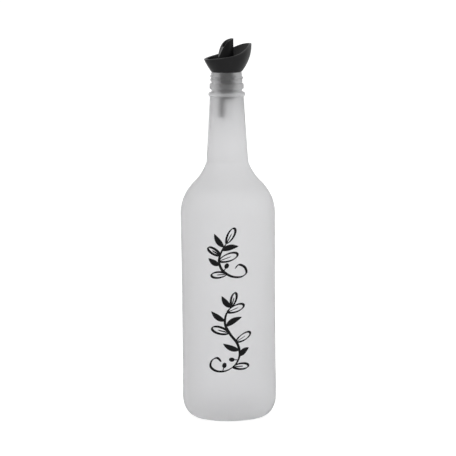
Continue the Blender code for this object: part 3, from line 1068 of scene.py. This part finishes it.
@dataclass
class StopperPlug:
    """The soft finned plug in the bottle's mouth."""

    sides: int = 96
    glass_rim: float = GLASS_RIM
    gap: float = GAP
    flange_radius: float = 11.0 * MM
    flange_thickness: float = 1.0 * MM
    core_radius: float = 6.6 * MM
    length: float = 22.0 * MM
    end_rim: float = 2.0 * MM
    fin_radius: float = 9.1 * MM
    fin_count: int = 3
    fin_first: float = 5.0 * MM
    fin_step: float = 6.0 * MM
    fin_root: float = 2.0 * MM
    fin_tip: float = 1.3 * MM
    bore_radius: float = PASSAGE_RADIUS
    bore_offset: float = PASSAGE_OFFSET
    stub_radius: float = STUB_RADIUS
    stub_depth: float = STUB_DEPTH
    air_radius: float = 1.0 * MM
    tube_offset: float = TUBE_OFFSET
    spigot_radius: float = 1.6 * MM
    spigot_length: float = 7.0 * MM
    groove_half_width: float = 1.0 * MM
    groove_depth: float = 0.6 * MM
    groove_reach: float = 9.2 * MM
    cutter_top: float = 5.0 * MM
    corner: float = 0.25 * MM
    finish: MouldedPlastic = PLUG_FINISH

    def side_line(self) -> list[Flat]:
        """Flange, core and fins, from the top down.

        Returns:
            Points as radius and height.
        """
        flange_bottom = self.glass_rim + self.gap
        flange_top = flange_bottom + self.flange_thickness
        line = [
            (self.flange_radius - self.end_rim, flange_top),
            (self.flange_radius, flange_top),
            (self.flange_radius, flange_bottom),
            (self.fin_radius, flange_bottom),
            (self.fin_radius, self.glass_rim - self.gap),
            (self.core_radius, self.glass_rim - self.fin_root),
        ]
        for i in range(self.fin_count):
            middle = self.glass_rim - self.fin_first - self.fin_step * i
            line += [
                (self.core_radius, middle + self.fin_root),
                (self.fin_radius, middle + self.fin_tip),
                (self.fin_radius, middle - self.fin_tip),
                (self.core_radius, middle - self.fin_root),
            ]
        bottom = self.glass_rim - self.length
        line += [(self.core_radius, bottom), (self.core_radius - self.end_rim, bottom)]
        return soften(line, self.corner)

    def groove_cutter(self) -> Thing:
        """A block that cuts the groove which leads air over the flange.

        Returns:
            The block.
        """
        floor = self.glass_rim + self.gap + self.flange_thickness - self.groove_depth
        side = self.groove_half_width
        ends = (-self.groove_reach, self.tube_offset)
        corners = [(ends[0], -side), (ends[1], -side), (ends[1], side), (ends[0], side)]
        heights = (floor, self.glass_rim + self.cutter_top)
        return RingSkin().solid([[(x, y, z) for x, y in corners] for z in heights]).place("groove_cutter")

    def build(self) -> Thing:
        """Builds and dresses the plug.

        Returns:
            The finished piece.
        """
        skin = RingSkin().solid([round_ring(r, z, self.sides) for r, z in self.side_line()])
        piece = skin.place("finned_plug", self.finish.make())
        above = self.glass_rim + self.cutter_top
        bottom = self.glass_rim - self.length
        below = bottom - 2 * self.spigot_length
        spigot = rod(self.spigot_radius, bottom - self.spigot_length, bottom + MM, self.tube_offset)
        combine(piece, spigot, "UNION")
        drill(piece, self.bore_radius, below, above, self.bore_offset)
        stub_floor = self.glass_rim - self.stub_depth - self.gap
        drill(piece, self.stub_radius + self.gap, stub_floor, above, self.bore_offset)
        drill(piece, self.air_radius, below, above, self.tube_offset)
        combine(piece, self.groove_cutter(), "DIFFERENCE")
        return settle(piece, Slot.PLUG, Node.PLUG)


@dataclass
class AirTube:
    """The thin tube below the plug that lets air in while the bottle pours."""

    sides: int = 48
    top: float = 261.9 * MM
    end: float = 247.5 * MM
    seam: float = 2.0 * MM
    radius: float = 2.6 * MM
    bore: float = 1.9 * MM
    offset: float = TUBE_OFFSET
    edge: float = 0.15 * MM
    finish: MouldedPlastic = TUBE_FINISH

    def build(self) -> Thing:
        """Builds and dresses the tube.

        Returns:
            The finished piece.
        """
        line = [
            (self.radius, self.top - self.seam),
            (self.radius, self.top),
            (self.bore, self.top),
            (self.bore, self.end),
            (self.radius, self.end),
            (self.radius, self.end + self.seam),
        ]
        skin = RingSkin()
        rings = [round_ring(r, z, self.sides, self.offset) for r, z in soften(line, self.edge)]
        skin.skin(rings, closed=True)
        return settle(skin.place("breather_tube", self.finish.make()), Slot.TUBE, Node.TUBE)


def smooth_path(points: Sequence[Flat], steps: int) -> list[Flat]:
    """An even curve through the given points.

    Args:
        points: The points that it passes.
        steps: How many chords each stretch has.

    Returns:
        The curve's points.
    """
    knots = [points[0], *points, points[-1]]
    line = []
    for a, b, c, d in zip(knots, knots[1:], knots[2:], knots[3:]):
        for i in range(steps):
            t = i / steps
            place = []
            for k in range(2):
                slope = (c[k] - a[k]) * t
                bend = (2 * a[k] - 5 * b[k] + 4 * c[k] - d[k]) * t * t
                twist = (3 * b[k] - a[k] - 3 * c[k] + d[k]) * t ** 3
                place.append(b[k] + 0.5 * (slope + bend + twist))
            line.append((place[0], place[1]))
    line.append(points[-1])
    return line


@dataclass(frozen=True)
class Stem:
    """One stem of the printed sprig, in millimetres across and up the glass.

    A growth is its share along the stem, its heading in degrees and its size.
    """

    path: tuple[Flat, ...]
    growths: dict[Motif, tuple[Point, ...]]


LOWER_STEM = Stem(
    ((-6.5, 45.2), (-9.8, 48.4), (-14.4, 46.2), (-15.6, 41), (-10.5, 37.6), (-2.5, 38), (5, 43),
     (8.6, 51), (6.8, 60), (1, 68), (-3, 76), (-2.2, 84), (2.4, 91)),
    {
        Motif.OPEN_LEAF: (
            (0.479, 2, 0.8), (0.688, 30, 0.86), (0.765, 166, 0.92), (0.943, 22, 0.9), (1, 74, 0.7)),
        Motif.FULL_LEAF: (
            (0.574, 40, 0.66), (0.622, 158, 0.9), (0.818, 30, 0.95), (0.866, 146, 0.86), (0.985, 128, 0.74)),
        Motif.OLIVE: ((0.39, 74, 1), (0.545, 176, 1)),
    },
)
UPPER_STEM = Stem(
    ((5.2, 121.6), (8.6, 124.8), (13.4, 122.6), (14.8, 117.8), (10, 114.8), (2, 115.6),
     (-5, 120.6), (-7.6, 128), (-5.2, 136), (-1.2, 142.5)),
    {
        Motif.OPEN_LEAF: ((0.607, 186, 0.8), (0.782, 20, 1), (0.845, 150, 0.72), (1, 62, 0.84)),
        Motif.FULL_LEAF: ((0.734, 150, 0.68), (0.901, 14, 0.86), (0.94, 126, 0.84)),
        Motif.OLIVE: ((0.647, 62, 1),),
    },
)


@dataclass
class SprigSheet(NodeSheet):
    """Nodes that set the leaves, swell the strokes and wrap the ink on the round glass.

    A band of the glass is its bottom, its top and how much the radius grows over it.
    """

    wrap_radius: float = 38.4 * MM
    base_radius: float = 38.5 * MM
    bands: tuple[Point, ...] = (
        (32.5 * MM, 39.5 * MM, -0.23 * MM),
        (39.5 * MM, 123.5 * MM, 0.15 * MM),
        (123.5 * MM, 168.0 * MM, 0.38 * MM),
    )
    given: Any = field(init=False, default=None)

    def __post_init__(self) -> None:
        """Adds the node that gives the tree's inputs."""
        self.given = self.add("NodeGroupInput").outputs

    def join(self, *parts: Socket) -> Socket:
        """Joins geometry.

        Args:
            parts: Its parts.

        Returns:
            The joined geometry.
        """
        node = self.add("GeometryNodeJoinGeometry")
        for part in parts:
            self.feed(node.inputs[0], part)
        return node.outputs[0]

    def set_motif(self, motif: Motif) -> Socket:
        """Sets one motif on its marks.

        Args:
            motif: The motif.

        Returns:
            The realised strokes.
        """
        marks, shape = (self.add("GeometryNodeObjectInfo", Object=self.given[name]).outputs["Geometry"]
                        for name in ("Places", motif.value))
        reader = "GeometryNodeInputNamedAttribute"
        kind, heading, size = (self.add(reader, {"data_type": "FLOAT"}, Name=name).outputs["Attribute"]
                               for name in ("motif", "heading", "size"))
        placed = self.add(
            "GeometryNodeInstanceOnPoints",
            Points=marks,
            Instance=shape,
            Selection=self.calc("COMPARE", kind, float(list(Motif).index(motif)), 0.1),
            Rotation=self.vector(Z=heading),
            Scale=self.vector(X=size, Y=size, Z=1.0),
        )
        return self.add("GeometryNodeRealizeInstances", Geometry=placed.outputs[0]).outputs[0]

    def pen_width(self, strokes: Socket) -> Socket:
        """Swells each stroke where it runs across the pen's nib.

        Args:
            strokes: The strokes.

        Returns:
            The strokes with their widths set.
        """
        course = self.parts(self.add("GeometryNodeInputTangent").outputs[0])
        heading = self.calc("ARCTAN2", course["Y"], course["X"])
        nib = self.calc("RADIANS", self.given["Nib Angle"])
        across = self.calc("ABSOLUTE", self.calc("SINE", self.calc("SUBTRACT", heading, nib)))
        width = self.calc("MULTIPLY_ADD", across, self.given["Swell"], self.given["Hairline"])
        radius = self.calc("MULTIPLY", width, self.add("GeometryNodeInputRadius").outputs[0])
        return self.add("GeometryNodeSetCurveRadius", Curve=strokes, Radius=radius).outputs[0]

    def wrap(self, flat: Socket) -> Socket:
        """Lays flat ink on the round glass.

        Args:
            flat: The ink, across along X, up along Y, and thick along Z.

        Returns:
            The wrapped ink.
        """
        place = self.parts(self.add("GeometryNodeInputPosition").outputs[0])
        radius: Value = self.base_radius
        for low, high, growth in self.bands:
            radius = self.calc("ADD", self.span(place["Y"], (low, high), (0.0, growth)), radius)
        reach = self.calc("ADD", radius, self.calc("ADD", place["Z"], self.given["Lift"]))
        across = self.calc("DIVIDE", place["X"], self.wrap_radius)
        angle = self.calc("ADD", across, self.calc("RADIANS", self.given["Centre Angle"]))
        x, y = (self.calc("MULTIPLY", reach, self.calc(kind, angle)) for kind in ("COSINE", "SINE"))
        target = self.vector(X=x, Y=y, Z=place["Y"])
        return self.add("GeometryNodeSetPosition", Geometry=flat, Position=target).outputs[0]

    def fill(self) -> None:
        """Lays out every node, from the bare strokes to the dressed ink."""
        drawn = self.pen_width(self.join(self.given["Geometry"], self.set_motif(Motif.OPEN_LEAF)))
        ink = self.join(drawn, self.set_motif(Motif.FULL_LEAF), self.set_motif(Motif.OLIVE))
        section = self.add("GeometryNodeCurvePrimitiveQuadrilateral", {"mode": "RECTANGLE"}, Width=2.0)
        self.set(section, Height=self.given["Flatness"])
        swept = self.add("GeometryNodeCurveToMesh", Curve=ink, Profile_Curve=section.outputs[0])
        self.set(swept, Scale=self.add("GeometryNodeInputRadius").outputs[0], Fill_Caps=True)
        real = self.add("GeometryNodeRealizeInstances", Geometry=self.wrap(swept.outputs[0]))
        dressed = self.add("GeometryNodeSetMaterial", Geometry=real.outputs[0], Material=self.given["Ink"])
        self.add("NodeGroupOutput", Geometry=dressed.outputs[0])


@dataclass
class SprigPrint:
    """The black sprig printed up the front of the glass, drawn with a broad pen."""

    centre_angle: float = -115.0
    lift: float = 0.07 * MM
    nib_angle: float = 35.0
    hairline: float = 0.45
    swell: float = 0.75
    stroke: float = 0.9 * MM
    thinnest: float = 0.05 * MM
    rise: float = 5.8 * MM
    path_steps: int = 14
    stem_tail: float = 0.1
    flatness: float = 0.035
    leaf_length: float = 16.0 * MM
    leaf_half_width: float = 3.3 * MM
    loop_steps: int = 48
    loop_power: float = 0.35
    loop_tail: float = 0.06
    rib_tail: float = 0.3
    rib_width: float = 0.55
    blade_steps: int = 36
    blade_bow: float = 1.1 * MM
    blade_lean: float = 0.85
    blade_power: float = 0.8
    blade_width: float = 0.7
    stalk_length: float = 3.0 * MM
    stalk_half_width: float = 0.4 * MM
    olive_length: float = 4.6 * MM
    olive_half_width: float = 1.75 * MM
    olive_steps: int = 18
    finish: MouldedPlastic = INK_FINISH
    stems: tuple[Stem, ...] = (LOWER_STEM, UPPER_STEM)

    def stroke_curve(self, name: str, *lines: tuple[list[Flat], list[float]]) -> Thing:
        """Makes a flat curve object of pen strokes.

        Args:
            name: The object's name.
            lines: For each stroke its points in metres and its half width at each point.

        Returns:
            The curve object.
        """
        data = bpy.data.curves.new(name, "CURVE")
        data.dimensions = "3D"
        data.twist_mode = "Z_UP"
        for points, widths in lines:
            spline = data.splines.new("POLY")
            spline.points.add(len(points) - 1)
            for knot, (x, y), width in zip(spline.points, points, widths):
                knot.co = (x, y, 0.0, 1.0)
                knot.radius = width
        return new_thing(name, data)

    def taper(self, count: int, tail: float) -> list[float]:
        """Half widths of a stroke that thins out at both ends.

        Args:
            count: How many points it has.
            tail: Share of its length over which each end thins.

        Returns:
            One half width for each point.
        """
        nears = [min(share, 1 - share, tail) / tail for share in shares(count - 1)]
        return [self.stroke * math.sqrt(min(1.0, 0.02 + near * (2 - near))) for near in nears]

    def open_leaf(self) -> Thing:
        """A leaf drawn as one loop of the pen, with its midrib.

        Returns:
            The curve object, with its foot at the origin.
        """
        loop = []
        for turn in circle_turns(self.loop_steps) + [2 * math.pi]:
            across = self.leaf_half_width * math.sin(turn) * abs(math.sin(turn / 2)) ** self.loop_power
            loop.append((self.leaf_length * (1 - math.cos(turn)) / 2, across))
        rib = [(self.leaf_length * i / 12, 0.0) for i in range(9)]
        thin = [width * self.rib_width for width in self.taper(len(rib), self.rib_tail)]
        return self.stroke_curve("open_leaf", (loop, self.taper(len(loop), self.loop_tail)), (rib, thin))

    def full_leaf(self) -> Thing:
        """A leaf laid down as one swelling stroke.

        Returns:
            The curve object, with its foot at the origin.
        """
        line = []
        widths = []
        for share in shares(self.blade_steps):
            line.append((self.leaf_length * share, self.blade_bow * math.sin(math.pi * share)))
            body = max(0.0, math.sin(math.pi * share ** self.blade_lean)) ** self.blade_power
            widths.append(max(self.thinnest, self.blade_width * self.leaf_half_width * body))
        return self.stroke_curve("full_leaf", (line, widths))

    def olive(self) -> Thing:
        """An olive on its stalk.

        Returns:
            The curve object, with its foot at the origin.
        """
        stalk = [(self.stalk_length * i / 6, 0.0) for i in range(8)]
        fruit = []
        widths = []
        for turn in [math.pi * i / self.olive_steps for i in range(self.olive_steps + 1)]:
            fruit.append((self.stalk_length + self.olive_length * (1 - math.cos(turn)) / 2, 0.0))
            widths.append(max(self.thinnest, self.olive_half_width * math.sin(turn)))
        even = [self.stalk_half_width] * len(stalk)
        return self.stroke_curve("olive_fruit", (stalk, even), (fruit, widths))

    def lay_out(self) -> tuple[Thing, Thing]:
        """Draws the stems and marks where each leaf and olive grows.

        Returns:
            The stems' curve object and a mesh of marked points.
        """
        lines = []
        marks = []
        for stem in self.stems:
            path = [(x * MM, y * MM + self.rise) for x, y in smooth_path(stem.path, self.path_steps)]
            lines.append((path, self.taper(len(path), self.stem_tail)))
            for kind, motif in enumerate(Motif):
                for share, heading, size in stem.growths[motif]:
                    x, y = path[int(share * (len(path) - 1))]
                    marks.append(((x, y, 0.0), math.radians(heading), size, kind))
        mesh = bpy.data.meshes.new("leaf_marks")
        mesh.from_pydata([mark[0] for mark in marks], [], [])
        for column, name in enumerate(("heading", "size", "motif"), 1):
            layer = mesh.attributes.new(name, "FLOAT", "POINT")
            layer.data.foreach_set("value", [float(mark[column]) for mark in marks])
        return self.stroke_curve("sprig_stems", *lines), new_thing("leaf_marks", mesh)

    def build(self) -> Thing:
        """Draws, wraps and dresses the print.

        Returns:
            The finished piece.
        """
        stems, places = self.lay_out()
        helpers = {
            "Places": places,
            "Open Leaf": self.open_leaf(),
            "Full Leaf": self.full_leaf(),
            "Olive": self.olive(),
        }
        inputs = {
            **helpers,
            "Centre Angle": self.centre_angle,
            "Nib Angle": self.nib_angle,
            "Hairline": self.hairline,
            "Swell": self.swell,
            "Flatness": self.flatness,
            "Lift": self.lift,
            "Ink": self.finish.make(),
        }
        tree = bpy.data.node_groups.new("printed_sprig", "GeometryNodeTree")
        for side in ("INPUT", "OUTPUT"):
            tree.interface.new_socket("Geometry", in_out=side, socket_type="NodeSocketGeometry")
        settings = {}
        for name, value in inputs.items():
            kind = SOCKET_KINDS[type(value)]
            socket = tree.interface.new_socket(name, in_out="INPUT", socket_type=kind)
            settings[socket.identifier] = value
        SprigSheet(tree).fill()
        modifier = stems.modifiers.new("wrap", "NODES")
        modifier.node_group = tree
        for identifier, value in settings.items():
            modifier[identifier] = value
        graph = bpy.context.evaluated_depsgraph_get()
        mesh = bpy.data.meshes.new_from_object(stems.evaluated_get(graph))
        for helper in (*helpers.values(), stems):
            bpy.data.objects.remove(helper, do_unlink=True)
        builder = bmesh.new()
        builder.from_mesh(mesh)
        bmesh.ops.recalc_face_normals(builder, faces=builder.faces)
        builder.to_mesh(mesh)
        builder.free()
        mesh.name = "printed_sprig"
        return settle(new_thing("printed_sprig", mesh), Slot.HEAD)


@dataclass(frozen=True)
class SoftLight:
    """One large soft lamp."""

    name: str
    place: Point
    aim: Point
    width: float
    height: float
    power: float

    def make(self) -> None:
        """Sets up the lamp."""
        data = bpy.data.lights.new(self.name, "AREA")
        data.shape = "RECTANGLE"
        data.size = self.width
        data.size_y = self.height
        data.energy = self.power
        lamp = new_thing(self.name, data)
        lamp.location = self.place
        lamp.rotation_euler = (Vector(self.aim) - Vector(self.place)).to_track_quat("-Z", "Y").to_euler()


@dataclass
class Studio:
    """Camera, white surround, floor and soft lamps."""

    azimuth: float = -25.0
    distance: float = 2.15
    camera_height: float = 0.4195
    aim_height: float = 0.156
    lens: float = 208.04
    sensor: float = 36.0
    roll: float = -0.53
    floor_radius: float = 8.0
    floor_sides: int = 96
    floor_glow: float = 0.26
    seen_floor_glow: float = 0.65
    floor_tone: float = 0.6
    floor_roughness: float = 0.8
    floor_gloss: float = 0.1
    surround: float = 0.7
    side_glow: float = 0.28
    side_lean: float = 0.085
    seen_surround: float = 1.05
    lamps: tuple[SoftLight, ...] = (
        SoftLight("key_lamp", (-1.0, -0.7, 1.1), (0.0, 0.0, 0.2), 0.5, 0.7, 2.0),
        SoftLight("fill_lamp", (0.9, -0.9, 0.6), (0.0, 0.0, 0.2), 0.3, 0.6, 1.0),
    )
    bounces: tuple[tuple[str, int], ...] = (
        ("max_bounces", 32), ("glossy_bounces", 24), ("transmission_bounces", 32), ("diffuse_bounces", 8))

    def camera(self) -> None:
        """Places the camera at the photograph's angle."""
        data = bpy.data.cameras.new("studio_camera")
        data.lens = self.lens
        data.sensor_width = self.sensor
        turn = math.radians(self.azimuth)
        place = Vector((math.sin(turn) * self.distance, -math.cos(turn) * self.distance, self.camera_height))
        aim = Vector((0.0, 0.0, self.aim_height)) - place
        facing = aim.to_track_quat("-Z", "Y").to_matrix().to_4x4()
        tilt = Matrix.Rotation(math.radians(self.roll), 4, "Z")
        camera = new_thing("studio_camera", data)
        camera.matrix_world = Matrix.Translation(place) @ facing @ tilt
        bpy.context.scene.camera = camera

    def seen_tone(self, sheet: NodeSheet, unseen: Value, seen: float) -> Socket:
        """One value as a light and another where the camera looks at it."""
        ray = sheet.add("ShaderNodeLightPath").outputs["Is Camera Ray"]
        return sheet.span(ray, (0.0, 1.0), (unseen, seen))

    def surroundings(self) -> None:
        """Sets a white surround that is a little softer as a light than it looks."""
        world = bpy.data.worlds.new("white_surround")
        world.use_nodes = True
        sheet = NodeSheet(world.node_tree)
        turn = math.radians(self.azimuth)
        aside = sheet.add("ShaderNodeVectorMath", {"operation": "DOT_PRODUCT"})
        sheet.feed(aside.inputs[0], sheet.add("ShaderNodeTexCoord").outputs["Generated"])
        sheet.feed(aside.inputs[1], (math.cos(turn), math.sin(turn), 0.0))
        lean = aside.outputs["Value"]
        beside = sheet.calc("POWER", sheet.calc("ABSOLUTE", lean), 2.0)
        even = sheet.calc("MULTIPLY_ADD", beside, self.side_glow, self.surround)
        unseen = sheet.calc("MULTIPLY_ADD", lean, self.side_lean, even)
        strength = self.seen_tone(sheet, unseen, self.seen_surround)
        sheet.set(world.node_tree.nodes["Background"], Color=WHITE, Strength=strength)
        bpy.context.scene.world = world

    def floor(self) -> None:
        """Lays a round white floor."""
        skin = RingSkin()
        ring = round_ring(self.floor_radius, 0.0, self.floor_sides)
        skin.builder.faces.new([skin.builder.verts.new(point) for point in ring])
        material, sheet, shader = new_material("white_floor")
        sheet.set(
            shader,
            Base_Color=(self.floor_tone, self.floor_tone, self.floor_tone, 1.0),
            Roughness=self.floor_roughness,
            Specular_IOR_Level=self.floor_gloss,
            Emission_Color=WHITE,
            Emission_Strength=self.seen_tone(sheet, self.floor_glow, self.seen_floor_glow),
        )
        skin.place("studio_floor", material)

    def build(self) -> None:
        """Sets up the whole studio."""
        self.camera()
        self.surroundings()
        self.floor()
        for lamp in self.lamps:
            lamp.make()
        for name, count in self.bounces:
            setattr(bpy.context.scene.cycles, name, count)
        bpy.context.scene.view_settings.view_transform = "Standard"


def main() -> None:
    """Builds the studio and every piece of the bottle."""
    logging.basicConfig(level=logging.INFO, format="%(name)s %(message)s")
    Studio().build()
    for assembly in (Bottle(), PouringHead(), StopperPlug(), AirTube(), SprigPrint()):
        assembly.build()


if __name__ == "__main__":
    main()
